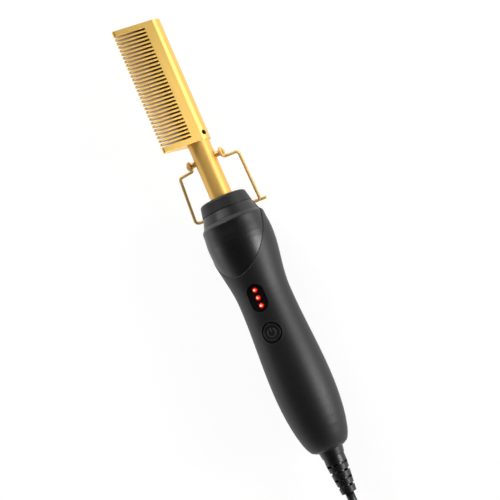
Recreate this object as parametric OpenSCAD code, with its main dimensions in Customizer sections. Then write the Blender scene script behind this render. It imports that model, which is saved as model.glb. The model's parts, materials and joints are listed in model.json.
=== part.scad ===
// Electric hot comb: a gold comb head on a heater tube, a wire stand, a hollow two-part handle with
// a power button and status lights, and a swivelling cord. Millimetres.
// The handle's axis runs along Y, the tip of the comb is at +Y, the button faces +Z, and the comb
// lies on its back on z = 0.

/* [Comb head] */
// Length of the comb along the heater tube
comb_len = 81; // [64:1:100]
// From the tube's axis to the tips of the teeth
comb_reach = 26; // [22:0.5:32]
// Radius of the rounded back
back_r = 7.5; // [7.2:0.1:9]
// How far the middle of the rounded back lies behind the tube's axis
back_off = 1; // [0:0.1:2]
// Thickness of the teeth at their tips
tip_t = 2.4; // [1.6:0.1:4]
// Chamfer along the edges of the tips
tip_cham = 0.4; // [0.1:0.1:0.7]
// Distance from the tube's axis at which the gaps end
gap_root = 6.8; // [6.6:0.1:9]
// Number of gaps between the teeth
gap_count = 31; // [15:1:35]
// Width of one gap
gap_w = 1.25; // [0.8:0.05:1.4]
// Thickness of the first and the last tooth
end_tooth = 3.6; // [2:0.1:6]
// Turn of the teeth about the tube, up from level
comb_turn = 50; // [0:1:90]
// Solid end of the comb past its bore
comb_end_wall = 5; // [3:0.5:8]

/* [Comb screw] */
// Radius of the set screw
comb_screw_r = 1.5; // [1:0.1:1.6]
// Distance of the set screw from the comb's lower end
comb_screw_in = 4.2; // [4:0.1:8]
// Turn of the set screw towards the back, from square to the flat side
comb_screw_turn = 15; // [0:1:40]
// How deep the set screw sits below the surface
comb_screw_sink = 0.8; // [0.4:0.1:1]
// Width of its hexagon socket across the corners
socket_w = 1.5; // [1:0.1:1.8]
// Depth of its hexagon socket
socket_depth = 0.8; // [0.5:0.1:1]

/* [Heater tube] */
// Radius of the tube
tube_r = 7; // [6.5:0.1:8]
// Wall of the tube
tube_wall = 1.1; // [0.8:0.1:1.3]
// Radius of the thinner spigot inside the comb
spigot_r = 5.5; // [5:0.1:5.6]
// Length of tube between the comb and the handle
tube_show = 37; // [32:1:50]
// Length of tube inside the handle
tube_in = 27.5; // [26:0.5:30]
// Radius of the ceramic heater rod
core_r = 4.3; // [3.5:0.1:4.4]
// Distance from the rear end of the heater rod to the front of the handle
core_in = 11.5; // [8:0.5:13]

/* [Wire stand] */
// Radius of the stand's wire
wire_r = 1; // [0.8:0.1:1.2]
// Distance of the stand's pivot from the front of the handle
pivot_out = 26; // [22:0.5:28]
// Length of the arms, from the pivot to the middle of the cross piece
arm_len = 38; // [34:0.5:44]
// Distance of the arms' upper corners from the tube's axis
arm_half = 20.6; // [18:0.1:24]
// Half the length of the cross piece
foot_half = 22.2; // [18:0.1:25]
// How far the middle of the cross piece hangs to the left of the tube's axis
foot_aside = 5.5; // [0:0.1:8]
// Angle of the cross piece, from square to the tube
foot_angle = 4; // [0:0.5:8]
// Length of the finger tab past the right arm
tab_len = 4.4; // [3:0.1:6]
// Radius of the bends at the corners
bend_r = 2.2; // [2:0.1:4]
// Radius of the bend beside the finger tab
tab_bend_r = 1.5; // [1.2:0.1:2]
// Radius of the small bends beside the eyes
eye_bend_r = 1.2; // [1.1:0.1:1.6]
// Distance from the pivot to the small bends beside the eyes
eye_neck = 3.4; // [3.4:0.1:4.5]
// How far the upper corners lie below the pivot
corner_drop = 4; // [3.6:0.1:6]

/* [Studs] */
// Radius of the studs' pins
stud_r = 1.2; // [1:0.1:1.4]
// Radius of the studs' shoulders
stud_boss_r = 1.75; // [1.6:0.05:2.2]
// Length of the shoulder outside the tube
stud_boss = 2.9; // [2:0.1:4]
// Radius of the studs' heads
stud_head_r = 1.8; // [1.6:0.1:2]
// Thickness of the studs' heads
stud_head_t = 1; // [0.6:0.1:1.4]

/* [Collar] */
// Length of the collar
collar_len = 7.6; // [6.6:0.1:10]
// Radius at its front edge
collar_r = 15; // [14.6:0.1:16]
// Rounding of its front edge
collar_round = 2; // [1:0.1:2.5]
// Thickness of its front wall
collar_wall = 2.6; // [2:0.1:3]
// Radius of the shells' spigot inside the collar
collar_fit_r = 13.4; // [13:0.1:13.6]

/* [Handle] */
// Length of the handle from the front of the collar to the tail
handle_len = 165; // [160:1:185]
// Radius at the seam behind the collar
seam_r = 16.2; // [16:0.1:17]
// Length of the tapered neck behind the collar
neck_taper = 5.4; // [4:0.1:8]
// Radius at the end of the tapered neck
neck_r = 18; // [17:0.1:19]
// Length of the rounded step up to the swelling
step_len = 3.6; // [2:0.1:6]
// Radius at the top of the step
step_r = 20.2; // [19.5:0.1:20.6]
// Largest radius of the swelling
bulge_r = 21; // [20.8:0.1:22]
// Distance of the largest swelling from the front
bulge_at = 27.5; // [24:0.5:32]
// Radius at the waist
waist_r = 16.6; // [16.4:0.1:18]
// Distance of the waist from the front
waist_at = 66; // [60:1:72]
// Largest radius of the belly
belly_r = 18.7; // [18:0.1:20]
// Distance of the belly from the front
belly_at = 122; // [112:1:128]
// Radius of the flat end of the tail
tail_r = 9; // [8.5:0.1:10]
// Wall of the shells
wall = 2.2; // [1.8:0.1:2.6]
// Thickness of the solid tail
tail_wall = 12.5; // [10:0.5:15]

/* [Front sleeve] */
// Thickness of the sleeve
sleeve_t = 1.8; // [1.4:0.1:2]
// How far the sleeve lies below the surface of the shells
sleeve_drop = 0.35; // [0.1:0.05:0.5]
// Where the slanted edge crosses the axis, from the front
slant_at = 21.8; // [19:0.1:24]
// Angle of the slanted edge, from square to the axis
slant_angle = 56.3; // [52:0.1:58]
// Turn of the slanted edge's lowest point, left of the button
slant_turn = 14.5; // [0:0.5:20]

/* [Status window] */
// Distance of the window's middle from the front
window_at = 65.3; // [62:0.1:68]
// Length of the window
window_len = 17.4; // [16.6:0.1:20]
// Width of the window
window_w = 10.7; // [9:0.1:12]
// Height of the window's face above the axis
window_face = 14.2; // [13.8:0.1:15.4]
// Thickness of the window
window_t = 1.6; // [1:0.1:2.6]
// Rim of the window behind the shell
window_rim = 1.2; // [0.8:0.1:1.4]
// Number of lights
light_count = 3; // [2:1:3]
// Distance between the lights
light_pitch = 5; // [4:0.1:5.2]
// Radius of a light
light_r = 1.5; // [1:0.1:1.6]
// How far the lights stand above the window's face
light_up = 1.6; // [0.5:0.1:1.8]

/* [Power button] */
// Distance of the button's middle from the front
button_at = 87.5; // [86:0.1:92]
// Radius of the button's cap
button_r = 5.3; // [4.6:0.1:5.6]
// Travel of the button
button_travel = 0.6; // [0.3:0.1:0.8]
// Width of the groove around the button
groove_w = 0.65; // [0.4:0.05:1]
// Depth of the groove around the button
groove_deep = 0.9; // [0.5:0.1:1.2]
// Rim of the cap behind the shell
button_rim = 1; // [0.6:0.1:1.2]
// Width of the raised ring around the cap's hollow
cap_ring = 1; // [0.6:0.1:1.6]
// Depth of the cap's hollow
cap_hollow = 0.35; // [0.2:0.05:0.6]

/* [Board] */
// Length of the circuit board
board_len = 44; // [42:1:48]
// Width of the circuit board
board_w = 20; // [18:0.5:20.5]
// Thickness of the circuit board
board_t = 1.6; // [1:0.1:1.6]
// Height of the board's upper face above the axis
board_up = 9; // [8.5:0.1:9.2]
// Distance of the board's middle from the front
board_at = 77.5; // [75:0.5:79]
// Side of the power switch's body
switch_w = 6; // [5:0.1:7]
// Radius of the switch's plunger
plunger_r = 1.7; // [1.2:0.1:2]
// Radius of a lead
lead_r = 0.9; // [0.6:0.1:0.9]
// Radius of the board's screws
board_screw_r = 0.9; // [0.8:0.1:1]
// Distance of the board's screws from the middle
board_screw_x = 7.3; // [7:0.1:7.6]
// Length of the thermal fuse
fuse_len = 9; // [7:0.5:12]
// Radius of the thermal fuse
fuse_r = 1.6; // [1.2:0.1:2]
// Length of the dropper capacitor
cap_len = 13; // [10:0.5:15]
// Width of the dropper capacitor
cap_w = 6; // [5:0.5:8]
// Height of the dropper capacitor
cap_h = 9; // [7:0.5:10]

/* [Shell screws] */
// Gap between the rear screw's post and the contact block
post_gap = 1.3; // [1:0.1:4]
// Radius of the screws' threads
screw_r = 1.2; // [1:0.1:1.4]
// Radius of the screws' heads
screw_head_r = 2.2; // [2:0.1:2.4]
// Thickness of the screws' heads
screw_head_t = 1.6; // [1.2:0.1:2]
// How far below the axis the heads seat
screw_seat = 11; // [10:0.5:12]
// Radius of the screw posts
post_r = 3.4; // [3.2:0.1:3.6]

/* [Heat bush] */
// Radius of the heat bush
bush_r = 11.6; // [11.2:0.1:12]
// Length of the heat bush
bush_len = 18; // [15:0.5:19]
// Radius of the cross pin
pin_r = 1; // [0.8:0.1:1.2]
// Distance of the cross pin from the rear end of the bush
pin_in = 5; // [3:0.5:5]

/* [Tail and swivel] */
// Length of the tail ring
ring_len = 4.5; // [3:0.1:6]
// Radius of the tail ring at the handle
ring_r = 7.8; // [7:0.1:8.4]
// Radius of the tail ring at the relief
ring_end_r = 7; // [6.8:0.1:7.6]
// Radius of the tail ring's sleeve inside the shells
ring_sleeve_r = 6; // [5.4:0.1:6.4]
// Radius of the swivel's spindle
spindle_r = 4; // [3.5:0.1:4.4]
// Radius of the spindle's head
spindle_head_r = 5.6; // [5:0.1:6]
// Thickness of the spindle's head
spindle_head_t = 2; // [1.5:0.1:3]
// Length of the spindle inside the relief
spindle_out = 4; // [3:0.1:4.4]
// Radius of the contact block
block_r = 9.2; // [9:0.1:9.6]
// Length of the contact block
block_len = 6; // [5:0.5:7]

/* [Cord relief] */
// Length of the cord relief
relief_len = 23.5; // [20:0.5:30]
// Radius of the relief at the ring
relief_r = 6.6; // [6.2:0.1:6.8]
// Radius of the relief at the cord
relief_end_r = 4.7; // [4.4:0.1:5.5]
// Length of the relief's plain base
relief_base = 4.6; // [4:0.1:6]
// Number of grooves around the relief
groove_count = 4; // [3:1:4]
// Distance from one groove to the next
groove_pitch = 4.6; // [3:0.1:4.7]
// Width of a relief groove
slit_w = 1.4; // [1:0.1:1.6]
// Depth of a relief groove
slit_deep = 1.9; // [1.2:0.1:2]
// Width of the four bridges across each relief groove
bridge_w = 1.3; // [0.8:0.1:2]

/* [Cord and plug] */
// Diameter of the cord
cord_d = 5.4; // [4:0.1:5.6]
// Length of the plug's body
plug_len = 30; // [24:1:36]
// Width of the plug's body
plug_w = 24; // [22:0.5:28]
// Thickness of the plug's body
plug_t = 16; // [14:0.5:18]
// Distance between the blades
blade_gap = 12.7; // [12:0.1:13]
// Thickness of a blade
blade_t = 1.5; // [1.4:0.1:1.6]
// Width of a blade
blade_w = 6.35; // [6:0.05:6.5]
// Length of a blade outside the plug
blade_len = 16; // [15:0.5:18]
// Radius of the hole near a blade's tip
blade_hole_r = 1.6; // [1.2:0.1:1.8]
// Thickness of the cord tie
tie_t = 1; // [0.8:0.1:1.4]
// Width of the cord tie
tie_w = 9; // [6:0.5:12]

/* [Clearances] */
// Running clearance around a moving pin, on the radius
run_fit = 0.08; // [0.03:0.01:0.1]
// Clearance of fixed pieces in their seats
seat_fit = 0.1; // [0.05:0.01:0.2]
// Gap at the ends of moving pieces
end_gap = 0.1; // [0.05:0.01:0.2]

/* [Hidden] */
$fn = 64;
gold = "goldenrod";
black = "dimgray";
over = 1;

// Places. The origin lies under the middle of the comb, stand, handle and relief.
total_len = comb_len + tube_show + handle_len + ring_len + relief_len;
tip_y = total_len / 2;
comb_y = tip_y - comb_len;
front_y = comb_y - tube_show;
tail_y = front_y - handle_len;
relief_y = tail_y - ring_len;
cord_y = relief_y - relief_len;
seam_y = front_y - collar_len;
foot_left = foot_at(-1);
foot_right = foot_at(1);
arm_angle = atan2(-foot_left.x - arm_half, foot_left.y - corner_drop);
corner_angle = 90 + arm_angle - foot_angle;
tab_wire_r = 0.92 * wire_r;
left_reach = -foot_left.x + wire_r
    - bend_r * (tan(corner_angle / 2) * sin(arm_angle) + cos(arm_angle) - 1);
right_reach = max(
    bulge_r, foot_right.x + tab_len * cos(foot_angle) + tab_wire_r / 2 * sin(foot_angle)
);
axis_x = (left_reach - right_reach) / 2;
axis_h = bulge_r;
function foot_at(s) = [
    s * foot_half * cos(foot_angle) - foot_aside, arm_len + s * foot_half * sin(foot_angle)
];
pivot_y = front_y + pivot_out;
window_y = front_y - window_at;
button_y = front_y - button_at;
board_y = front_y - board_at;
bush_y = front_y - collar_wall - end_gap;
cavity_end_y = tail_y + tail_wall;

// The handle's radius follows stations from the seam to the tail, distances from the front.
step_at = collar_len + neck_taper;
function ease(a, b, t) = a + (b - a) * (1 - cos(180 * t)) / 2;
function tail_curve(t) = tail_r + (belly_r - tail_r) * sqrt(1 - t * t);
function skin_r(d) =
    d <= step_at ? seam_r + (neck_r - seam_r) * (d - collar_len) / neck_taper
    : d <= step_at + step_len ? ease(neck_r, step_r, (d - step_at) / step_len)
    : d <= bulge_at ? ease(step_r, bulge_r, (d - step_at - step_len) / (bulge_at - step_at - step_len))
    : d <= waist_at ? ease(bulge_r, waist_r, (d - bulge_at) / (waist_at - bulge_at))
    : d <= belly_at ? ease(waist_r, belly_r, (d - waist_at) / (belly_at - waist_at))
    : tail_curve(min(1, (d - belly_at) / (handle_len - belly_at)));

function steps(a, b, n) = [for (i = [0:n - 1]) a + (b - a) * i / n];
stations = concat(
    [collar_len],
    steps(step_at, step_at + step_len, 5),
    steps(step_at + step_len, bulge_at, 3),
    steps(bulge_at, waist_at, 10),
    steps(waist_at, belly_at, 8),
    steps(belly_at, belly_at + (handle_len - belly_at) * 0.8, 6),
    steps(belly_at + (handle_len - belly_at) * 0.8, handle_len, 6),
    [handle_len]
);
function skin_line(inset, from, to) = [
    for (d = stations) if (d >= from && d <= to) [skin_r(d) - inset, front_y - d]
];

// Puts children on the handle's axis: their z runs towards the tip and their -y faces up.
module on_axis() {
    translate([axis_x, 0, axis_h]) rotate([-90, 0, 0]) children();
}

// Puts children above the axis at a place along it.
module above(y, z = 0) {
    translate([axis_x, y, axis_h + z]) children();
}

module disc(r, y0, y1) {
    on_axis() translate([0, 0, y0]) cylinder(h = y1 - y0, r = r);
}

module pipe(r, bore, y0, y1) {
    on_axis() rotate_extrude() translate([bore, y0]) square([r - bore, y1 - y0]);
}

/* Comb head */

back_mid = [back_off, 0];
tip_far = norm([comb_reach + back_off, tip_t / 2]);
side_r = back_r - 0.02;
side_lean = asin(side_r / tip_far) - atan2(tip_t / 2, comb_reach + back_off);
side_end = [back_off - side_r * sin(side_lean), side_r * cos(side_lean)];
gap_pitch = (comb_len - 2 * end_tooth - gap_w) / (gap_count - 1);
comb_bore_r = spigot_r + seat_fit / 2;
screw_dir = [sin(comb_screw_turn), -cos(comb_screw_turn)];
screw_top = screw_dir * back_mid
    + sqrt(pow(screw_dir * back_mid, 2) + back_r * back_r - back_off * back_off);

module comb_solid() {
    tip_x = -comb_reach;
    linear_extrude(comb_len) polygon([
        [tip_x, tip_t / 2 - tip_cham], [tip_x + tip_cham, tip_t / 2 + tip_cham * tan(side_lean)],
        side_end, [0, 0], [side_end.x, -side_end.y],
        [tip_x + tip_cham, -tip_t / 2 - tip_cham * tan(side_lean)], [tip_x, -tip_t / 2 + tip_cham]
    ]);
    translate(back_mid) cylinder(h = comb_len, r = back_r);
}

module on_comb() {
    on_axis() rotate([0, 0, comb_turn]) children();
}

module comb_screw_hole(r, from, to) {
    on_comb() translate([0, 0, comb_y + comb_screw_in])
        rotate([0, 90, comb_screw_turn - 90]) translate([0, 0, from]) cylinder(h = to - from, r = r);
}

module comb_head() {
    color(gold) difference() {
        on_comb() translate([0, 0, comb_y]) comb_solid();
        disc(comb_bore_r, comb_y - over, tip_y - comb_end_wall);
        on_comb() for (i = [0:gap_count - 1])
            translate([-comb_reach - over, -back_r - over, comb_y + end_tooth + i * gap_pitch])
                cube([comb_reach + over - gap_root, 2 * back_r + 2 * over, gap_w]);
        comb_screw_hole(comb_screw_r + seat_fit / 2, 0, back_r + back_off + over);
    }
}

module comb_screw() {
    end = screw_top - comb_screw_sink;
    color("black") difference() {
        comb_screw_hole(comb_screw_r, spigot_r, end);
        on_comb() translate([0, 0, comb_y + comb_screw_in])
            rotate([0, 90, comb_screw_turn - 90]) translate([0, 0, end - socket_depth])
                cylinder(h = socket_depth + over, d = socket_w, $fn = 6);
    }
}

/* Heater tube and what it carries */

tube_end_y = front_y - tube_in;
spigot_end_y = tip_y - comb_end_wall - end_gap;
spigot_bore_r = core_r + seat_fit;
eye_wire_r = 1.06 * wire_r;
stud_eye_x = tube_r + stud_boss + end_gap + eye_wire_r;
stud_head_x = stud_eye_x + eye_wire_r + end_gap;
pin_y = bush_y - bush_len + pin_in;

module along_x(r, x0, x1, y, z = 0) {
    above(y, z) translate([x0, 0, 0]) rotate([0, 90, 0]) cylinder(h = x1 - x0, r = r);
}

module heater_tube() {
    color(gold) difference() {
        on_axis() rotate_extrude() polygon([
            [tube_r - tube_wall, tube_end_y], [tube_r, tube_end_y], [tube_r, comb_y],
            [spigot_r, comb_y], [spigot_r, spigot_end_y], [0, spigot_end_y],
            [0, spigot_end_y - tube_wall], [spigot_bore_r, spigot_end_y - tube_wall],
            [spigot_bore_r, comb_y - tube_wall], [tube_r - tube_wall, comb_y - tube_wall]
        ]);
        along_x(stud_r + seat_fit / 2, -tube_r - over, tube_r + over, pivot_y);
        along_x(pin_r + seat_fit / 2, -tube_r - over, tube_r + over, pin_y);
    }
}

core_gap = 0.3;
core_end_y = spigot_end_y - tube_wall - core_gap;

module heater_core() {
    color("ivory") difference() {
        disc(core_r, front_y - core_in, core_end_y);
        disc(core_r / 3, front_y - core_in - over, front_y - core_in + 3 * lead_r);
    }
}

module heat_bush() {
    color("white") difference() {
        pipe(bush_r, tube_r + seat_fit / 2, bush_y - bush_len, bush_y);
        along_x(pin_r + seat_fit / 2, -bush_r - over, bush_r + over, pin_y);
    }
}

module bush_pin() {
    color("silver") along_x(pin_r, -bush_r, bush_r, pin_y);
}

module stand_stud() {
    along_x(stud_r, tube_r - tube_wall, stud_head_x, pivot_y);
    difference() {
        along_x(stud_boss_r, tube_r - tube_wall, tube_r + stud_boss, pivot_y);
        disc(tube_r + seat_fit / 2, pivot_y - 3 * stud_boss_r, pivot_y + 3 * stud_boss_r);
    }
    above(pivot_y) rotate([0, 90, 0]) rotate_extrude() polygon([
        [0, stud_head_x], [stud_head_r, stud_head_x], [stud_head_r, stud_head_x + stud_head_t / 2],
        [stud_r / 2, stud_head_x + stud_head_t], [0, stud_head_x + stud_head_t]
    ]);
}

module stand_studs() {
    color(gold) {
        stand_stud();
        translate([2 * axis_x, 0, 0]) mirror([1, 0, 0]) stand_stud();
    }
}

// The stand lies in a plane through the pivot: x runs across and z down the arms.
stand_drop = asin((axis_h - wire_r) / foot_right.y);
bend_wire_r = wire_r - 0.01;
bend_lap = 1;

function heading(a, b) = atan2(b.x - a.x, b.y - a.y);
function turn_at(p, i) =
    let (t = heading(p[i], p[i + 1]) - heading(p[i - 1], p[i]))
    t > 180 ? t - 360 : t < -180 ? t + 360 : t;
function cut_at(p, r, i) =
    i == 0 || i == len(p) - 1 ? 0 : r[i] * tan(abs(turn_at(p, i)) / 2);

// Draws a bent wire from corner i on: a straight, then the bend at its end, then the rest.
module bent_wire(p, r, i = 0) {
    run = norm(p[i + 1] - p[i]) - cut_at(p, r, i) - cut_at(p, r, i + 1);
    cylinder(h = run, r = wire_r);
    if (i < len(p) - 2) {
        t = turn_at(p, i + 1);
        side = t > 0 ? 0 : 1;
        translate([0, 0, run]) mirror([side, 0, 0]) translate([r[i + 1], 0, 0]) {
            rotate([90, 0, 180]) rotate([0, 0, -bend_lap]) rotate_extrude(angle = abs(t) + 2 * bend_lap)
                translate([r[i + 1], 0]) circle(bend_wire_r);
            rotate([0, abs(t), 0]) translate([-r[i + 1], 0, 0]) mirror([side, 0, 0])
                bent_wire(p, r, i + 1);
        }
    }
}

module wire_eye() {
    rotate([0, 90, 0]) rotate_extrude() {
        translate([stud_r + run_fit + wire_r, 0]) circle(eye_wire_r);
        translate([stud_r + run_fit, -wire_r / 2]) square([wire_r, wire_r]);
    }
}

module in_stand_plane() {
    above(pivot_y) rotate([90 + stand_drop, 0, 0]) children();
}

module wire_stand() {
    half = [[stud_eye_x, stud_r + wire_r], [stud_eye_x, eye_neck], [arm_half, corner_drop]];
    path = concat(half, [foot_right, foot_left], [for (i = [2:-1:0]) [-half[i].x, half[i].y]]);
    radii = [0, eye_bend_r, bend_r, tab_bend_r, bend_r, bend_r, eye_bend_r, 0];
    tab_tip = tab_wire_r / 2;
    tab_in = 2 * tab_bend_r;
    color(gold) in_stand_plane() {
        translate([half[0].x, 0, half[0].y]) bent_wire(path, radii);
        for (s = [-1, 1]) translate([s * stud_eye_x, 0, 0]) wire_eye();
        translate([foot_right.x, 0, foot_right.y]) rotate([0, 90 - foot_angle, 0]) rotate_extrude()
            polygon([
                [0, -tab_in], [tab_wire_r, -tab_in], [tab_wire_r, tab_len - tab_tip],
                [tab_wire_r - tab_tip, tab_len], [0, tab_len]
            ]);
    }
}

/* Handle shells, collar and sleeve */

module front_collar() {
    corner = [for (a = [0:15:90]) [
        collar_r - collar_round + collar_round * cos(a), front_y - collar_round + collar_round * sin(a)
    ]];
    color(black) on_axis() rotate_extrude() polygon(concat(
        [[tube_r + seat_fit, front_y - collar_wall], [collar_fit_r + seat_fit, front_y - collar_wall],
        [collar_fit_r + seat_fit, seam_y], [seam_r, seam_y]],
        corner, [[tube_r + seat_fit, front_y]]
    ));
}

// Everything on the tail side of the slanted edge.
module behind_slant(gap = 0) {
    size = 3 * handle_len;
    on_axis() rotate([0, 0, -90 - slant_turn]) translate([0, 0, front_y - slant_at - gap])
        rotate([0, slant_angle, 0]) translate([-size / 2, -size / 2, -size])
            cube(size);
}

module skin_solid(inset, from, to) {
    line = skin_line(inset, from, to);
    on_axis() rotate_extrude() polygon(concat([[0, line[0].y]], line, [[0, line[len(line) - 1].y]]));
}

module front_sleeve() {
    outer = skin_line(sleeve_drop, collar_len, waist_at);
    inner = skin_line(sleeve_t, collar_len, waist_at);
    n = len(inner);
    color(black) difference() {
        on_axis() rotate_extrude() polygon(concat(outer, [for (i = [n - 1:-1:0]) inner[i]]));
        behind_slant();
    }
}

core_inset = wall + sleeve_t + seat_fit;

module shell_outside() {
    intersection() {
        skin_solid(0, collar_len, handle_len);
        behind_slant(seat_fit);
    }
    skin_solid(sleeve_t + seat_fit, collar_len, handle_len);
    disc(collar_fit_r, seam_y - over, front_y - collar_wall - end_gap);
}

cavity_step_at = 52;
ring_flange_r = ring_sleeve_r + 2;
ring_flange_t = 1.5;
block_y = cavity_end_y + end_gap + ring_flange_t + end_gap + spindle_head_t + end_gap;

module shell_inside() {
    front_line = skin_line(core_inset, step_at + step_len, cavity_step_at);
    end_d = front_y - block_y - block_len;
    rear_line = [
        for (d = stations) if (d > cavity_step_at && d < end_d - over) [skin_r(d) - wall, front_y - d]
    ];
    on_axis() rotate_extrude() polygon(concat(
        [[0, front_line[0].y]], front_line, rear_line,
        [[skin_r(end_d) - wall, front_y - end_d], [0, front_y - end_d]]
    ));
    disc(bush_r + seat_fit / 2, bush_y - bush_len - over, front_y);
    disc(block_r + seat_fit / 2, cavity_end_y, block_y + block_len + over);
}

module shell_body() {
    difference() {
        shell_outside();
        shell_inside();
        disc(ring_sleeve_r + seat_fit / 2, tail_y - over, cavity_end_y + over);
    }
}

module stadium(len, w) {
    for (s = [-1, 1]) translate([0, s * (len - w) / 2]) circle(w / 2);
    square([w, len - w], center = true);
}

module slab(y, z0, z1) {
    above(y, z0) linear_extrude(z1 - z0) children();
}

module upper_half() {
    above(tail_y - over) translate([-handle_len / 2, 0, 0]) cube(handle_len + 2 * over);
}

module lower_half() {
    above(tail_y - over) translate([-handle_len / 2, 0, -handle_len])
        cube([handle_len, handle_len + 2 * over, handle_len]);
}

board_screw_y = (window_y - window_len / 2 + button_y + button_r) / 2;
board_screw_top = board_up + 3;

module board_posts() {
    for (s = [-1, 1]) difference() {
        intersection() {
            above(board_screw_y, board_up) translate([s * board_screw_x, 0, 0])
                cylinder(h = belly_r - board_up, r = 2 * board_screw_r);
            skin_solid(wall / 2, collar_len, handle_len);
        }
        above(board_screw_y, board_up - over) translate([s * board_screw_x, 0, 0])
            cylinder(h = board_screw_top - board_up + over, r = board_screw_r + seat_fit / 2);
    }
}

screw_end = 7;
rear_screw_at = front_y - block_y - block_len - post_gap - post_r;
screw_at = [(board_at + board_len / 2 + rear_screw_at) / 2, rear_screw_at];

module upper_posts() {
    for (d = screw_at) difference() {
        intersection() {
            above(front_y - d) cylinder(h = belly_r, r = post_r);
            skin_solid(wall / 2, collar_len, handle_len);
        }
        above(front_y - d, -over) cylinder(h = screw_end + 2 * over, r = screw_r + seat_fit / 2);
    }
}

module upper_shell() {
    color(black) {
        difference() {
            shell_body();
            lower_half();
            slab(window_y, board_up, bulge_r) stadium(window_len + 2 * seat_fit, window_w + 2 * seat_fit);
            slab(button_y, board_up, bulge_r) circle(button_r + run_fit);
            difference() {
                slab(button_y, board_up, bulge_r) circle(button_r + groove_w);
                skin_solid(groove_deep, collar_len, handle_len);
            }
        }
        board_posts();
        upper_posts();
    }
}

module lower_shell() {
    color(black) difference() {
        union() {
            difference() {
                shell_body();
                upper_half();
            }
            for (d = screw_at) intersection() {
                above(front_y - d, -belly_r) cylinder(h = belly_r, r = post_r);
                skin_solid(wall / 2, collar_len, handle_len);
            }
        }
        for (d = screw_at) {
            above(front_y - d, -belly_r - over) cylinder(h = belly_r + 2 * over, r = screw_r + seat_fit);
            above(front_y - d, -belly_r - over)
                cylinder(h = belly_r + over - screw_seat, r = screw_head_r + seat_fit);
        }
    }
}

module shell_screws() {
    color("silver") for (d = screw_at) difference() {
        union() {
            above(front_y - d, -screw_seat) cylinder(h = screw_seat + screw_end, r = screw_r);
            above(front_y - d, -screw_seat - screw_head_t) cylinder(h = screw_head_t, r = screw_head_r);
        }
        for (a = [0, 90]) above(front_y - d, -screw_seat - screw_head_t) rotate([0, 0, a])
            cube([screw_head_r * 1.3, screw_head_r * 0.3, screw_head_t], center = true);
    }
}

/* Button, window and board */

window_base = window_face - window_t;
cap_base = board_up + 3.6;
switch_top = cap_base - end_gap;
cap_rim_t = 1;

module power_button() {
    cap_low = cap_base + cap_rim_t;
    color(black) {
        difference() {
            intersection() {
                slab(button_y, cap_base + cap_rim_t / 2, bulge_r) circle(button_r);
                skin_solid(0, collar_len, handle_len);
            }
            difference() {
                slab(button_y, cap_low, bulge_r) circle(button_r - cap_ring);
                skin_solid(cap_hollow, collar_len, handle_len);
            }
        }
        slab(button_y, cap_base, cap_low) circle(button_r + button_rim);
    }
}

plunger_low = board_up + 2.2;

module switch_plunger() {
    color("white") above(button_y, plunger_low) cylinder(h = cap_base - plunger_low, r = plunger_r);
}

module power_switch() {
    color("silver") difference() {
        above(button_y, board_up) translate([-switch_w / 2, -switch_w / 2, 0])
            cube([switch_w, switch_w, switch_top - board_up - button_travel]);
        above(button_y, plunger_low - button_travel - end_gap)
            cylinder(h = switch_top, r = plunger_r + run_fit);
    }
}

module circuit_board() {
    color("darkgreen") difference() {
        above(board_y, board_up - board_t / 2) cube([board_w, board_len, board_t], center = true);
        for (s = [-1, 1]) above(board_screw_y, board_up - board_t - over)
            translate([s * board_screw_x, 0, 0])
                cylinder(h = board_t + 2 * over, r = board_screw_r + seat_fit);
    }
}

module board_screws() {
    low = board_up - board_t;
    color("silver") for (s = [-1, 1]) above(board_screw_y) translate([s * board_screw_x, 0, 0]) {
        translate([0, 0, low - board_screw_r]) cylinder(h = board_screw_r, r = 2 * board_screw_r);
        translate([0, 0, low - board_screw_r / 2])
            cylinder(h = board_screw_top - low - end_gap, r = board_screw_r);
    }
}

function light_place(i) = window_y + (i - (light_count - 1) / 2) * light_pitch;

module status_window() {
    rim = 2 * window_rim;
    color("black") difference() {
        union() {
            slab(window_y, window_base, window_face) stadium(window_len, window_w);
            slab(window_y, window_base - 1, window_base) stadium(window_len + rim, window_w + rim);
        }
        for (i = [0:light_count - 1]) above(light_place(i), board_up)
            cylinder(h = bulge_r, r = light_r + seat_fit);
    }
}

module status_lights() {
    top = window_face + light_up - light_r;
    color("red") for (i = [0:light_count - 1]) above(light_place(i)) {
        translate([0, 0, board_up]) cylinder(h = top - board_up, r = light_r);
        translate([0, 0, top]) sphere(light_r);
    }
}

module dropper_capacitor() {
    color("orange") above(board_y + board_len / 4, board_up - board_t - cap_h)
        translate([-board_w / 2 + 1, -cap_len / 2, 0]) cube([cap_w, cap_len, cap_h]);
}

module thermal_fuse() {
    color("silver") above(board_screw_y - 2 * board_screw_r - lead_r, board_up - board_t - fuse_r)
        translate([board_w / 2 - 2 * fuse_r, 0, 0])
            rotate([90, 0, 0]) cylinder(h = fuse_len, r = fuse_r);
}

lead_x = 2.5;
lead_z = 3.3;
wire_end_r = 0.5;

// Each heater lead runs level from the heater's end to under the board, and its bare end turns up.
module heater_lead(s) {
    from = front_y - core_in;
    to = board_y + board_len / 2 - 4;
    above(from, lead_z) translate([s * lead_x, 0, 0]) rotate([90, 0, 0])
        cylinder(h = from - to, r = lead_r);
    above(to + 2 * wire_end_r, lead_z) translate([s * lead_x, 0, 0])
        cylinder(h = board_up - board_t - lead_z, r = wire_end_r);
}

module heater_leads() {
    color("white") for (s = [-1, 1]) heater_lead(s);
}

supply_x = 5.2;

module supply_leads() {
    from = board_y - board_len / 2 + 4;
    z = board_up - board_t - lead_r - end_gap;
    color("brown") for (s = [-1, 1]) above(from) translate([s * supply_x, 0, z]) {
        rotate([90, 0, 0]) cylinder(h = from - block_y - block_len, r = lead_r);
        translate([0, -2 * wire_end_r, 0]) cylinder(h = lead_r + end_gap, r = wire_end_r);
    }
}

/* Tail and swivel */

module contact_block() {
    color("ivory") disc(block_r, block_y, block_y + block_len);
}

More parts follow.
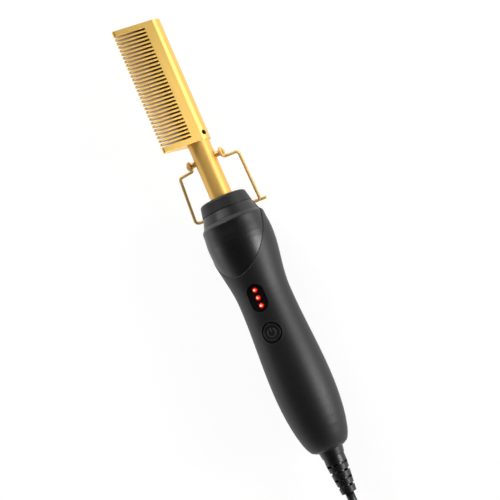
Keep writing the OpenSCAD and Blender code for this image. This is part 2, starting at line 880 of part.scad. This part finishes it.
module tail_ring() {
    inner = spindle_r + run_fit;
    flange_y = cavity_end_y + end_gap;
    color(black) on_axis() rotate_extrude() polygon([
        [inner, relief_y], [ring_end_r, relief_y], [ring_r, tail_y], [ring_sleeve_r, tail_y],
        [ring_sleeve_r, flange_y], [ring_flange_r, flange_y],
        [ring_flange_r, flange_y + ring_flange_t], [inner, flange_y + ring_flange_t]
    ]);
}

module swivel_spindle() {
    head_y = block_y - end_gap - spindle_head_t;
    color("gold") {
        disc(spindle_r, relief_y - spindle_out, head_y + spindle_head_t / 2);
        disc(spindle_head_r, head_y, head_y + spindle_head_t);
    }
}

// Each groove goes all round but for four bridges, which stand half a step aside from one to the next.
module relief_groove(i) {
    y = relief_y - relief_base - i * groove_pitch;
    slope = (relief_r - relief_end_r) / (relief_len - relief_base);
    floor_r = relief_r - slope * (i * groove_pitch + slit_w) - slit_deep;
    difference() {
        pipe(relief_r + over, floor_r, y - slit_w, y);
        for (k = [0:3]) on_axis() rotate([0, 0, 22.5 + 90 * k + 45 * (i % 2)])
            translate([0, -bridge_w / 2, y - slit_w - over]) cube([2 * relief_r, bridge_w, slit_w + 2 * over]);
    }
}

module cord_relief() {
    color(black) difference() {
        on_axis() rotate_extrude() polygon([
            [0, cord_y], [relief_end_r, cord_y], [relief_r, relief_y - relief_base],
            [relief_r, relief_y - end_gap], [0, relief_y - end_gap]
        ]);
        disc(spindle_r, relief_y - spindle_out, relief_y + over);
        for (i = [0:groove_count - 1]) relief_groove(i);
    }
}

/* Cord, chosen by hand: it leaves the relief, drops to the floor and lies tied in a hank. */

cord_r = cord_d / 2;
hank_run = 81;
hank_y = -230;
hank_low = 4;
hank_step = 6.3;
hank_layer = 5.9;
hank_inner = 12;
hank_draw = 9;
hank_turns = 1.5;
hank_layers = 4;
hank_outer = hank_inner + hank_turns * hank_step;
hank_end_y = hank_y - hank_run;
hank_top = hank_low + (hank_layers - 1) * hank_layer;
plug_front = [0, -374, 9];

hank_out_x = hank_outer + hank_step / 4;
lead_points = [
    [axis_x, cord_y, axis_h], [axis_x, cord_y - cord_d, axis_h], [3.5, -174, 18], [7.5, -188, 10],
    [15, -201, 5], [20.5, -213, hank_low], [hank_outer, hank_y + 2 * cord_d, hank_low],
    [hank_outer, hank_y + cord_d, hank_low]
];
end_points = [
    [hank_out_x, hank_end_y - cord_d, hank_top], [hank_out_x, hank_end_y - 2 * cord_d, hank_top],
    [20, -332, 18], [13, -346, 12], [4, -358, 9.5], plug_front + [0, cord_d, 0], plug_front
];

function unit(v) = v / norm(v);
function curve(p, i, t) =
    let (a = p[max(i - 1, 0)], b = p[i], c = p[i + 1], d = p[min(i + 2, len(p) - 1)])
    0.5 * (2 * b + (c - a) * t + (2 * a - 5 * b + 4 * c - d) * t * t + (3 * b - a - 3 * c + d) * t * t * t);
function smooth(p, n) = concat(
    [p[0]], [for (i = [1:len(p) - 3]) for (k = [0:n - 1]) curve(p, i, k / n)], [p[len(p) - 2], p[len(p) - 1]]
);

function wave(w) =
    w > hank_turns * hank_layers ? hank_turns * hank_layers - w
    : let (m = w - 2 * hank_turns * floor(w / (2 * hank_turns))) m < hank_turns ? m : 2 * hank_turns - m;
function climb(t) = t <= 0 ? 0 : t >= 1 ? 1 : (1 - cos(180 * t)) / 2;
function hank_z(w) =
    hank_low + hank_layer * (climb((w - hank_turns) * 2 + 0.5) + climb((w - 2 * hank_turns) * 2 + 0.5)
        + climb((w - 3 * hank_turns) * 2 + 0.5));
function hank_half(w) = hank_outer - hank_step * wave(w);
function waist_in(t) = hank_draw * pow(sin(180 * t), 2);
function hank_point(w) =
    let (f = w - floor(w), q = floor(4 * f), t = 4 * f - q, a = hank_half(w), z = hank_z(w))
    q == 0 ? [a - waist_in(t), hank_y - hank_run * t, z]
    : q == 1 ? [a * cos(180 * t), hank_end_y - a * sin(180 * t), z]
    : q == 2 ? [waist_in(t) - a, hank_end_y + hank_run * t, z]
    : [-a * cos(180 * t), hank_y + a * sin(180 * t), z];
loop_rings = 24;
hank_count = round(hank_turns * hank_layers * loop_rings + loop_rings / 4);
hank_points = concat(
    [[hank_outer, hank_y + cord_d, hank_low]],
    [for (i = [0:hank_count]) hank_point(i / loop_rings - (i == hank_count ? 0.0001 : 0))],
    [[hank_out_x, hank_end_y - cord_d, hank_top]]
);

function ring_at(p, i, sides) =
    let (
        n = len(p),
        t = unit(p[min(i + 1, n - 1)] - p[max(i - 1, 0)]),
        s = unit(cross(t, [0, 0, 1])),
        u = cross(s, t)
    )
    [for (k = [0:sides - 1]) p[i] + cord_r * (cos(360 * k / sides) * s + sin(360 * k / sides) * u)];

module tube_along(p, sides) {
    n = len(p);
    points = [for (i = [0:n - 1]) each ring_at(p, i, sides)];
    skin = [
        for (i = [0:n - 2]) for (k = [0:sides - 1])
            let (a = i * sides + k, b = i * sides + (k + 1) % sides)
                each [[a, b, b + sides], [a, b + sides, a + sides]]
    ];
    first = [for (k = [1:sides - 2]) [0, k + 1, k]];
    last = [for (k = [1:sides - 2]) [(n - 1) * sides, (n - 1) * sides + k, (n - 1) * sides + k + 1]];
    polyhedron(concat(points), concat(skin, first, last), convexity = 10);
}

// The least gap between turns of the hank, measured between points more than half a turn apart.
function least_gap(p, apart) = min([
    for (i = [0:len(p) - 1 - apart]) for (j = [i + apart:len(p) - 1]) norm(p[i] - p[j])
]) - cord_d;
hank_fine = [for (w = [0:1 / 96:hank_turns * hank_layers + 0.24]) hank_point(w)];
echo(least_gap_in_the_hank = least_gap(hank_fine, 48));

module cord_lead() {
    color("black") tube_along(smooth(lead_points, 3), 10);
}

module cord_hank() {
    color("black") tube_along(hank_points, 6);
}

module cord_end() {
    color("black") tube_along(smooth(end_points, 3), 10);
}

tie_clear = 0.3;

module rounded_box(w, h, r) {
    square([w, h - 2 * r], center = true);
    square([w - 2 * r, h], center = true);
    for (x = [-1, 1]) for (z = [-1, 1]) translate([x * (w / 2 - r), z * (h / 2 - r)]) circle(r);
}

module cord_tie() {
    drawn = hank_outer - waist_in(0.5 - tie_w / 2 / hank_run) + cord_r + tie_clear;
    right = drawn + hank_step / 8;
    left = drawn - hank_step * 3 / 8;
    inner_w = left + right;
    inner_h = hank_top - hank_low + 2 * cord_r + 2 * tie_clear;
    mid_z = (hank_top + hank_low) / 2;
    color("dimgray") translate([(right - left) / 2, hank_y - hank_run / 2 + tie_w / 2, mid_z])
        rotate([90, 0, 0]) linear_extrude(tie_w) difference() {
            rounded_box(inner_w + 2 * tie_t, inner_h + 2 * tie_t, cord_r + tie_clear + tie_t);
            rounded_box(inner_w, inner_h, cord_r + tie_clear);
        }
}

/* Plug */

plug_mid_z = plug_front.z;
plug_neck = 8;
plug_y = plug_front.y - plug_neck;
plug_face_y = plug_y - plug_len;
blade_in = 8;

module plug_body() {
    color("black") difference() {
        union() {
            translate([0, plug_y, plug_mid_z]) rotate([90, 0, 0])
                linear_extrude(plug_len) rounded_box(plug_w, plug_t, 4);
            translate([0, plug_front.y, plug_mid_z]) rotate([90, 0, 0])
                cylinder(h = plug_neck + over, r1 = cord_r + 1.2, r2 = cord_r + 3);
        }
        for (s = [-1, 1]) for (i = [0:3]) translate([
            s * (plug_w / 2 + 0.6), plug_y - plug_len / 4 - i * plug_len / 8, plug_mid_z
        ]) cylinder(h = plug_t + over, r = 1.2, center = true);
        blades(0);
    }
}

module blades(hole_r) {
    for (s = [-1, 1]) difference() {
        translate([s * blade_gap / 2, plug_face_y + (blade_in - blade_len) / 2, plug_mid_z])
            cube([blade_t, blade_len + blade_in, blade_w], center = true);
        if (hole_r > 0) translate([s * blade_gap / 2, plug_face_y - blade_len + 4, plug_mid_z])
            rotate([0, 90, 0]) cylinder(h = 2 * blade_t, r = hole_r, center = true);
    }
}

module plug_blades() {
    color("silver") blades(blade_hole_r);
}

comb_head();
comb_screw();
heater_tube();
heater_core();
heat_bush();
bush_pin();
stand_studs();
wire_stand();
front_collar();
front_sleeve();
upper_shell();
lower_shell();
shell_screws();
power_button();
switch_plunger();
power_switch();
circuit_board();
board_screws();
status_window();
status_lights();
dropper_capacitor();
thermal_fuse();
heater_leads();
supply_leads();
contact_block();
swivel_spindle();
tail_ring();
cord_relief();
cord_lead();
cord_hank();
cord_end();
cord_tie();
plug_body();
plug_blades();
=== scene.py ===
import json
import math

import bpy
from mathutils import Matrix, Vector


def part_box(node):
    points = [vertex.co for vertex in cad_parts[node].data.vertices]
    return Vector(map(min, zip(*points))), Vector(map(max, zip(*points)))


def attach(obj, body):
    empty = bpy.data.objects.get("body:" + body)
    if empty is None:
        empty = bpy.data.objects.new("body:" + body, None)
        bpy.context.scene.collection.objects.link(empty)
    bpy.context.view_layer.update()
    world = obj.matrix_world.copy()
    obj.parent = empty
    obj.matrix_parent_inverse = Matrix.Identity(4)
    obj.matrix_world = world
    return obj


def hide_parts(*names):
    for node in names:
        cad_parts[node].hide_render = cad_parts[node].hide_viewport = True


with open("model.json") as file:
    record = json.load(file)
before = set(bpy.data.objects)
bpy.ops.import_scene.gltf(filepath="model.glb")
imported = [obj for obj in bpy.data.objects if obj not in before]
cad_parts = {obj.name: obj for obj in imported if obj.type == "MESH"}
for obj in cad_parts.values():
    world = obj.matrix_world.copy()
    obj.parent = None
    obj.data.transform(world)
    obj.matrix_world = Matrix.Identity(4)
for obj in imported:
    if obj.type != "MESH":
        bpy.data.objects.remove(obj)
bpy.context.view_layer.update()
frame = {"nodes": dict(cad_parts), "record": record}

# +Y runs along the handle towards the comb's tip, and +Z is up, on the button's side.

NODES = frame["nodes"]

MM = 0.001
LOW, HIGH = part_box("swivel_spindle")
AXIS = Vector(((LOW[0] + HIGH[0]) / 2, 0.0, (LOW[2] + HIGH[2]) / 2))
SCENE = bpy.context.scene


def add(name, data):
    """A new object in the scene's collection."""
    obj = bpy.data.objects.new(name, data)
    SCENE.collection.objects.link(obj)
    return obj


# Camera: the handle's button faces a little left of the lens and its tip leans away.

SIDE, LEAN, ROLL = math.radians(15.7), math.radians(4.9), math.radians(23.4)
DISTANCE = 0.795
HALF_VIEW = 0.1522
SENSOR = 36
AIM_ALONG, AIM_ACROSS = 1.6 * MM, 3.0 * MM


def camera():
    back = Vector((math.sin(SIDE) * math.cos(LEAN), -math.sin(LEAN), math.cos(SIDE) * math.cos(LEAN)))
    along = Vector((0, 1, 0)) - back * back.y
    along.normalize()
    across = along.cross(back)
    right = math.cos(ROLL) * across - math.sin(ROLL) * along
    up = math.sin(ROLL) * across + math.cos(ROLL) * along
    target = AXIS + Vector((0, AIM_ALONG, 0)) + across * AIM_ACROSS
    data = bpy.data.cameras.new("camera")
    data.sensor_width = SENSOR
    data.lens = SENSOR / 2 / math.tan(math.atan(HALF_VIEW / DISTANCE))
    data.clip_start, data.clip_end = 0.01, 50
    cam = add("camera", data)
    turn = Matrix((right, up, back)).transposed().to_4x4()
    cam.matrix_world = Matrix.Translation(target + back * DISTANCE) @ turn
    SCENE.camera = cam


# The cord's route, in millimetres, follows the same points and formulas as the part's source.
# RUN is the straight length of the hank, INNER the half width of its inmost turn, FIRST the
# height of its lowest layer, and DRAW how far the tie draws its sides in.

CORD_D = 5.4
EXIT_Y, EXIT_Z = -155.5, 21
RUN, HANK_Y, INNER, FIRST, STEP, LAYER, DRAW = 81, -230, 12, 4, 6.3, 5.9, 9
TURNS, LAYERS = 1.5, 4
OUTER = INNER + TURNS * STEP
END_Y = HANK_Y - RUN
TOP = FIRST + (LAYERS - 1) * LAYER
OUT_X = OUTER + STEP / 4
PLUG = (0, -374, 9)
START_X = AXIS.x / MM
LEAD = [(START_X, EXIT_Y, EXIT_Z), (START_X, EXIT_Y - CORD_D, EXIT_Z), (3.5, -174, 18), (7.5, -188, 10),
        (15, -201, 5), (20.5, -213, FIRST), (OUTER, HANK_Y + 2 * CORD_D, FIRST), (OUTER, HANK_Y + CORD_D, FIRST)]
END = [(OUT_X, END_Y - CORD_D, TOP), (OUT_X, END_Y - 2 * CORD_D, TOP), (20, -332, 18), (13, -346, 12),
       (4, -358, 9.5), (PLUG[0], PLUG[1] + CORD_D, PLUG[2]), PLUG]
CURVE_STEPS = 8
RING_STEPS = 96


def curve_through(points):
    """A Catmull-Rom curve through the points, straight over the first and last stretch."""
    p = [Vector(q) for q in points]
    out = [p[0]]
    for i in range(1, len(p) - 2):
        a, b, c, d = p[i - 1], p[i], p[i + 1], p[i + 2]
        for k in range(CURVE_STEPS):
            t = k / CURVE_STEPS
            out.append(0.5 * (2 * b + (c - a) * t + (2 * a - 5 * b + 4 * c - d) * t * t
                              + (3 * b - a - 3 * c + d) * t ** 3))
    return out + [p[-2], p[-1]]


def wave(w):
    """How many steps turn w lies inwards: in over one layer, out over the next."""
    if w > TURNS * LAYERS:
        return TURNS * LAYERS - w
    m = w % (2 * TURNS)
    return m if m < TURNS else 2 * TURNS - m


def climb(t):
    """A smooth rise from 0 to 1."""
    t = min(1, max(0, t))
    return (1 - math.cos(math.pi * t)) / 2


def hank_point(w):
    """The cord's middle after w turns: a straight side, an end, the other side, the other end."""
    f = w % 1
    q = min(3, int(4 * f))
    t = 4 * f - q
    a = OUTER - STEP * wave(w)
    z = FIRST + LAYER * sum(climb((w - k * TURNS) * 2 + 0.5) for k in (1, 2, 3))
    waist = DRAW * math.sin(math.pi * t) ** 2
    c, s = math.cos(math.pi * t), math.sin(math.pi * t)
    if q == 0:
        return Vector((a - waist, HANK_Y - RUN * t, z))
    if q == 1:
        return Vector((a * c, END_Y - a * s, z))
    if q == 2:
        return Vector((waist - a, END_Y + RUN * t, z))
    return Vector((-a * c, HANK_Y + a * s, z))


def tube(name, path, radius, sides=16):
    """A closed round tube along a path, as a mesh."""
    verts, faces = [], []
    n = len(path)
    for i, p in enumerate(path):
        t = (path[min(i + 1, n - 1)] - path[max(i - 1, 0)]).normalized()
        s = t.cross(Vector((0, 0, 1))).normalized()
        u = s.cross(t)
        for k in range(sides):
            a = 2 * math.pi * k / sides
            verts.append(p + radius * (math.cos(a) * s + math.sin(a) * u))
    for i in range(n - 1):
        for k in range(sides):
            a, b = i * sides + k, i * sides + (k + 1) % sides
            faces.append((a, b, b + sides, a + sides))
    faces.append(tuple(reversed(range(sides))))
    faces.append(tuple(range((n - 1) * sides, n * sides)))
    mesh = bpy.data.meshes.new(name)
    mesh.from_pydata([v[:] for v in verts], [], faces)
    for f in mesh.polygons:
        f.use_smooth = len(f.vertices) == 4
    mesh.update()
    return add(name, mesh)


def cord():
    last = int(RING_STEPS * (TURNS * LAYERS + 0.25))
    just_before = 1e-6
    path = curve_through(LEAD)
    path += [hank_point(k / RING_STEPS - (just_before if k == last else 0)) for k in range(last + 1)]
    path += curve_through(END)
    path = [p * MM for p in path]
    obj = tube("mains_cord", path, CORD_D * MM / 2)
    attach(obj, "handle")
    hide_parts("cord_lead", "cord_hank", "cord_end")
    return obj


# Materials

def new_material(name):
    m = bpy.data.materials.new(name)
    m.use_nodes = True
    tree = m.node_tree
    tree.nodes.clear()
    out = tree.nodes.new("ShaderNodeOutputMaterial")
    shader = tree.nodes.new("ShaderNodeBsdfPrincipled")
    tree.links.new(shader.outputs[0], out.inputs[0])
    return m, tree, shader


def shader_of(m):
    return next(n for n in m.node_tree.nodes if n.type == "BSDF_PRINCIPLED")


def noise(tree, scale, stretch=(1, 1, 1)):
    coords = tree.nodes.new("ShaderNodeTexCoord")
    mapping = tree.nodes.new("ShaderNodeMapping")
    mapping.inputs["Scale"].default_value = stretch
    tex = tree.nodes.new("ShaderNodeTexNoise")
    tex.inputs["Scale"].default_value = scale
    tex.inputs["Detail"].default_value = 3.0
    tree.links.new(coords.outputs["Object"], mapping.inputs[0])
    tree.links.new(mapping.outputs[0], tex.inputs["Vector"])
    return tex.outputs["Fac"]


def ramp(tree, source, stops):
    """Colours between stops of (position, colour). A single number stands for a grey."""
    r = tree.nodes.new("ShaderNodeValToRGB")
    while len(r.color_ramp.elements) < len(stops):
        r.color_ramp.elements.new(0.5)
    for e, (at, color) in zip(r.color_ramp.elements, stops):
        e.position = at
        e.color = (*color, 1) if isinstance(color, tuple) else (color, color, color, 1)
    tree.links.new(source, r.inputs[0])
    return r.outputs[0]


def bump(tree, shader, height, strength, distance, edge=None):
    b = tree.nodes.new("ShaderNodeBump")
    b.inputs["Strength"].default_value = strength
    b.inputs["Distance"].default_value = distance
    tree.links.new(height, b.inputs["Height"])
    if edge:
        bevel = tree.nodes.new("ShaderNodeBevel")
        bevel.samples = 6
        bevel.inputs["Radius"].default_value = edge
        tree.links.new(bevel.outputs[0], b.inputs["Normal"])
    tree.links.new(b.outputs[0], shader.inputs["Normal"])


def plain(name, low, high, rough, scale=300, stretch=(1, 1, 1), metal=0.0, grain=(4000, 0.15, 0.00002),
          edge=0.0002, rough_spread=0.06, ior=1.5):
    """Colour between two close tones, roughness and fine bump from noise, rounded edges.

    grain is the bump's scale, strength and depth.
    """
    m, tree, s = new_material(name)
    tone = noise(tree, scale, stretch)
    tree.links.new(ramp(tree, tone, [(0.3, low), (0.7, high)]), s.inputs["Base Color"])
    r = tree.nodes.new("ShaderNodeMapRange")
    r.inputs["To Min"].default_value = rough - rough_spread
    r.inputs["To Max"].default_value = rough + rough_spread
    tree.links.new(noise(tree, scale * 2.3, stretch), r.inputs["Value"])
    tree.links.new(r.outputs[0], s.inputs["Roughness"])
    s.inputs["Metallic"].default_value = metal
    s.inputs["IOR"].default_value = ior
    bump(tree, s, noise(tree, grain[0], stretch), grain[1], grain[2], edge)
    return m


def painted_gap_shade(m, reach, shade_tone):
    """Painted shade: the base colour darkens towards a dark tone where the surface is closed in, as between the
    comb's teeth.
    """
    tree, base = m.node_tree, shader_of(m).inputs["Base Color"]
    tone = base.links[0].from_socket
    closed = tree.nodes.new("ShaderNodeAmbientOcclusion")
    closed.samples = 8
    closed.inputs["Distance"].default_value = reach
    mix = tree.nodes.new("ShaderNodeMix")
    mix.data_type = "RGBA"
    in_shade, in_open = [i for i in mix.inputs if i.type == "RGBA"]
    in_shade.default_value = (*shade_tone, 1)
    tree.links.new(tone, in_open)
    tree.links.new(ramp(tree, closed.outputs["AO"], [(0.25, 0.0), (0.75, 1.0)]), mix.inputs[0])
    tree.links.new(next(o for o in mix.outputs if o.type == "RGBA"), base)


def painted_groove_shade_and_lip_highlight(m):
    """Painted shade and highlight in the sheen: no sheen in the deep ring round the button's cap, standing in
    for its shadow, and a painted highlight as a brighter lip on both sides of it.

    The stops are distances from the middle of the cap's top, as shares of the cap's width.
    """
    tree = m.node_tree
    usual, groove_shade, rim_highlight, lip_highlight = 0.5, 0.02, 1.0, 0.9
    low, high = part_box("power_button")
    coords = tree.nodes.new("ShaderNodeNewGeometry")
    far = tree.nodes.new("ShaderNodeVectorMath")
    far.operation = "DISTANCE"
    far.inputs[1].default_value = ((low[0] + high[0]) / 2, (low[1] + high[1]) / 2, high[2])
    share = tree.nodes.new("ShaderNodeMath")
    share.operation = "DIVIDE"
    share.inputs[1].default_value = high[1] - low[1]
    tree.links.new(coords.outputs["Position"], far.inputs[0])
    tree.links.new(far.outputs["Value"], share.inputs[0])
    painted_sheen = ramp(tree, share.outputs[0], [(0.0, usual), (0.37, usual), (0.41, rim_highlight), (0.45, usual),
                                          (0.47, groove_shade), (0.52, groove_shade), (0.53, lip_highlight), (0.58, usual)])
    tree.links.new(painted_sheen, shader_of(m).inputs["Specular IOR Level"])


def light_lens():
    """Lit red lenses: a pale hot middle, where the dome faces up, inside saturated red."""
    m, tree, s = new_material("light_red")
    geo = tree.nodes.new("ShaderNodeNewGeometry")
    up = tree.nodes.new("ShaderNodeSeparateXYZ")
    tree.links.new(geo.outputs["Normal"], up.inputs[0])
    uneven = tree.nodes.new("ShaderNodeMath")
    uneven.operation = "MULTIPLY_ADD"
    uneven.inputs[1].default_value = 0.06
    tree.links.new(noise(tree, 900), uneven.inputs[0])
    tree.links.new(up.outputs["Z"], uneven.inputs[2])
    color = ramp(tree, uneven.outputs[0], [(0.55, (0.55, 0.0, 0.0)), (0.85, (0.98, 0.03, 0.015)),
                                           (0.975, (1.0, 0.2, 0.1)), (1.0, (1.0, 0.8, 0.45))])
    tree.links.new(color, s.inputs["Base Color"])
    tree.links.new(color, s.inputs["Emission Color"])
    s.inputs["Emission Strength"].default_value = 0.9
    s.inputs["Roughness"].default_value = 0.2
    return m


def materials():
    """One material for each slot of the record, and two of the scene's own: sleeve_black and sign."""
    black = dict(scale=260, grain=(5200, 0.25, 0.00003))
    made = {
        "comb_gold": plain("comb_gold", (0.93, 0.60, 0.155), (0.97, 0.64, 0.175), 0.30, 500, (1, 0.04, 1), 1.0,
                           (2500, 0.12, 0.00001), 0.00035),
        "tube_gold": plain("tube_gold", (0.93, 0.53, 0.12), (1.0, 0.61, 0.16), 0.42, 1400, (1, 0.02, 1), 0.5,
                           (2600, 0.25, 0.00001), 0.0002),
        "wire_gold": plain("wire_gold", (1.0, 0.62, 0.19), (1.0, 0.70, 0.25), 0.36, 700, (1, 1, 1), 0.2,
                           (2600, 0.12, 0.00001), 0.0001),
        "dark_steel": plain("dark_steel", (0.02, 0.016, 0.01), (0.05, 0.04, 0.03), 0.45, 900, metal=0.6),
        "steel": plain("steel", (0.48, 0.48, 0.47), (0.62, 0.62, 0.61), 0.32, 900, metal=1.0),
        "ceramic": plain("ceramic", (0.72, 0.70, 0.64), (0.82, 0.80, 0.75), 0.55, 500),
        "handle_black": plain("handle_black", (0.006, 0.006, 0.0065), (0.008, 0.008, 0.0085), 0.48, **black),
        "sleeve_black": plain("sleeve_black", (0.002, 0.002, 0.0022), (0.003, 0.003, 0.0032), 0.36, ior=1.6,
                              **black),
        "button_black": plain("button_black", (0.006, 0.006, 0.0065), (0.008, 0.008, 0.0085), 0.38, **black),
        "sign": plain("sign", (0.05, 0.05, 0.052), (0.07, 0.07, 0.072), 0.4, 500),
        "window_black": plain("window_black", (0.004, 0.004, 0.005), (0.006, 0.006, 0.007), 0.12, 400,
                              grain=(900, 0.05, 0.00001), rough_spread=0.03),
        "light_red": light_lens(),
        "white_plastic": plain("white_plastic", (0.7, 0.7, 0.69), (0.78, 0.78, 0.77), 0.4, 400),
        "board_green": plain("board_green", (0.01, 0.10, 0.03), (0.02, 0.16, 0.05), 0.35, 600),
        "capacitor_orange": plain("capacitor_orange", (0.45, 0.13, 0.02), (0.55, 0.18, 0.03), 0.25, 400),
        "lead_white": plain("lead_white", (0.66, 0.66, 0.63), (0.76, 0.76, 0.73), 0.5, 500),
        "lead_brown": plain("lead_brown", (0.06, 0.025, 0.01), (0.09, 0.04, 0.015), 0.5, 500),
        "relief_black": plain("relief_black", (0.004, 0.004, 0.0045), (0.007, 0.007, 0.0075), 0.36, 400,
                              grain=(3000, 0.2, 0.00003), edge=0.0003),
        "cord_black": plain("cord_black", (0.010, 0.010, 0.011), (0.016, 0.016, 0.017), 0.36, 350,
                            grain=(2600, 0.3, 0.00003), edge=None),
        "tie_grey": plain("tie_grey", (0.05, 0.05, 0.052), (0.09, 0.09, 0.092), 0.75, 1500,
                          grain=(3500, 0.7, 0.0001), edge=0.0003),
        "plug_black": plain("plug_black", (0.012, 0.012, 0.013), (0.018, 0.018, 0.019), 0.42, 300,
                            grain=(3800, 0.35, 0.00004), edge=0.0007),
        "blade_nickel": plain("blade_nickel", (0.62, 0.60, 0.55), (0.74, 0.72, 0.67), 0.22, 900, metal=1.0),
    }
    # Painted shade between the comb's teeth, from ambient occlusion, mixed into the gold's base colour.
    painted_gap_shade(made["comb_gold"], 4 * MM, (0.26, 0.085, 0.01))
    # Painted shade in the ring round the button and painted highlights on its lips, through the sheen.
    painted_groove_shade_and_lip_highlight(made["handle_black"])
    painted_groove_shade_and_lip_highlight(made["button_black"])
    return made


def dress_nodes(mats):
    """Each node takes its slot's material. The sleeve and the tail ring have a glossier black."""
    wears = {p["node"]: p["material_slot"] for p in frame["record"]["subparts"]}
    wears["front_sleeve"] = wears["tail_ring"] = "sleeve_black"
    for name, obj in NODES.items():
        for s in obj.material_slots:
            s.material = mats[wears[name]]
        if not obj.material_slots:
            obj.data.materials.append(mats[wears[name]])


# Power sign on the button: an open ring with a bar through the gap, standing on the cap's hollow.

CAP_HOLLOW_R = 16.92 * MM
RING_R = 2.5 * MM
BAND_HALF = 0.27 * MM
BAND_LIFT = 0.24 * MM
BAND_SINK = 0.1 * MM
GAP_HALF = math.radians(36)
RING_PARTS, BAR_PARTS = 40, 4


def power_sign(mats):
    low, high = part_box("power_button")
    mid_x, mid_y = (low[0] + high[0]) / 2, (low[1] + high[1]) / 2
    verts, faces = [], []

    def cap_height(x):
        return AXIS.z + math.sqrt(CAP_HOLLOW_R ** 2 - (x - AXIS.x) ** 2)

    def strip(points):
        """A raised band along points (x, y), square in section, with closed ends."""
        base = len(verts)
        n = len(points)
        for i, (x, y) in enumerate(points):
            a, b = points[max(i - 1, 0)], points[min(i + 1, n - 1)]
            d = Vector((b[0] - a[0], b[1] - a[1])).normalized()
            side = Vector((-d.y, d.x)) * BAND_HALF
            for k, z in ((1, -BAND_SINK), (1, BAND_LIFT), (-1, BAND_LIFT), (-1, -BAND_SINK)):
                px, py = x + k * side.x, y + k * side.y
                verts.append((px, py, cap_height(px) + z))
        for i in range(n - 1):
            for k in range(4):
                a, b = base + 4 * i + k, base + 4 * i + (k + 1) % 4
                faces.append((a, b, b + 4, a + 4))
        faces.append((base + 3, base + 2, base + 1, base))
        e = base + 4 * (n - 1)
        faces.append((e, e + 1, e + 2, e + 3))

    turns = [GAP_HALF + (2 * math.pi - 2 * GAP_HALF) * i / RING_PARTS for i in range(RING_PARTS + 1)]
    strip([(mid_x + RING_R * math.sin(a), mid_y + RING_R * math.cos(a)) for a in turns])
    strip([(mid_x, mid_y + RING_R * (0.05 + 1.1 * i / BAR_PARTS)) for i in range(BAR_PARTS + 1)])
    mesh = bpy.data.meshes.new("power_sign")
    mesh.from_pydata(verts, [], faces)
    mesh.validate()
    obj = add("power_sign", mesh)
    mesh.materials.append(mats["sign"])
    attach(obj, "button")


# Stage: a pale floor that keeps the shadow, under a sky that is white low down and dark overhead.

FLOOR_HALF = 6.0
FLOOR_DROP = 0.0001
FLOOR_TONE = (0.86, 0.86, 0.86, 1)
GLOW, GLOW_SHARE = 1.2, 0.74


def seen_directly(t):
    """1 for rays from the lens, from a mirror or through glass, 0 for the others."""
    path = t.nodes.new("ShaderNodeLightPath")
    either = path.outputs["Is Camera Ray"]
    for other in ("Is Glossy Ray", "Is Transmission Ray"):
        most = t.nodes.new("ShaderNodeMath")
        most.operation = "MAXIMUM"
        t.links.new(either, most.inputs[0])
        t.links.new(path.outputs[other], most.inputs[1])
        either = most.outputs[0]
    return either


def mixed(t, share, first, second, out):
    mix = t.nodes.new("ShaderNodeMixShader")
    t.links.new(share, mix.inputs[0])
    t.links.new(first.outputs[0], mix.inputs[1])
    t.links.new(second.outputs[0], mix.inputs[2])
    t.links.new(mix.outputs[0], out.inputs[0])


def floor():
    mesh = bpy.data.meshes.new("floor")
    r, z = FLOOR_HALF, -FLOOR_DROP
    mesh.from_pydata([(-r, -r, z), (r, -r, z), (r, r, z), (-r, r, z)], [], [(0, 1, 2, 3)])
    add("floor", mesh)
    m = bpy.data.materials.new("floor")
    m.use_nodes = True
    t = m.node_tree
    t.nodes.clear()
    out = t.nodes.new("ShaderNodeOutputMaterial")
    diffuse = t.nodes.new("ShaderNodeBsdfDiffuse")
    diffuse.inputs[0].default_value = FLOOR_TONE
    glow = t.nodes.new("ShaderNodeEmission")
    glow.inputs[0].default_value = (1, 1, 1, 1)
    glow.inputs[1].default_value = GLOW
    share = t.nodes.new("ShaderNodeMath")
    share.operation = "MULTIPLY"
    share.inputs[1].default_value = GLOW_SHARE
    t.links.new(seen_directly(t), share.inputs[0])
    mixed(t, share.outputs[0], diffuse, glow, out)
    mesh.materials.append(m)


def sky():
    world = bpy.data.worlds.new("world")
    SCENE.world = world
    world.use_nodes = True
    t = world.node_tree
    t.nodes.clear()
    out = t.nodes.new("ShaderNodeOutputWorld")
    coords = t.nodes.new("ShaderNodeTexCoord")
    split = t.nodes.new("ShaderNodeSeparateXYZ")
    t.links.new(coords.outputs["Generated"], split.inputs[0])
    fill, seen = t.nodes.new("ShaderNodeBackground"), t.nodes.new("ShaderNodeBackground")
    t.links.new(ramp(t, split.outputs["Z"], [(0.0, (0.70, 0.70, 0.71)), (0.25, (0.55, 0.55, 0.56)),
                                             (0.6, (0.19, 0.19, 0.195)), (0.8, (0.08, 0.08, 0.082))]),
                fill.inputs[0])
    t.links.new(ramp(t, split.outputs["Z"], [(0.0, (1, 1, 1)), (0.2, (1, 1, 1)), (0.3, (0.5, 0.5, 0.51)),
                                             (0.6, (0.17, 0.17, 0.175)), (0.8, (0.06, 0.06, 0.062))]),
                seen.inputs[0])
    mixed(t, seen_directly(t), fill, seen, out)


def lamp(name, at, size, power):
    """A rectangular lamp, size wide and high in metres, turned to the middle of the handle."""
    data = bpy.data.lights.new(name, "AREA")
    data.shape = "RECTANGLE"
    data.size, data.size_y = size
    data.energy = power
    obj = add(name, data)
    obj.location = at
    obj.rotation_euler = (Vector((0, 0, 0.02)) - Vector(at)).to_track_quat("-Z", "Y").to_euler()


def lights():
    lamp("key", (1.65, -0.3, 0.52), (0.45, 0.9), 19)
    lamp("low", (1.6, 0.45, 0.16), (0.25, 1.6), 3.9)
    lamp("left", (-1.6, 0.1, 0.14), (0.2, 1.4), 1.6)
    lamp("front", (-0.35, 1.5, 0.95), (1.2, 0.3), 14)


SCENE.view_settings.view_transform = "Standard"
camera()
CORD = cord()
MATS = materials()
dress_nodes(MATS)
CORD.data.materials.append(MATS["cord_black"])
power_sign(MATS)
floor()
sky()
lights()
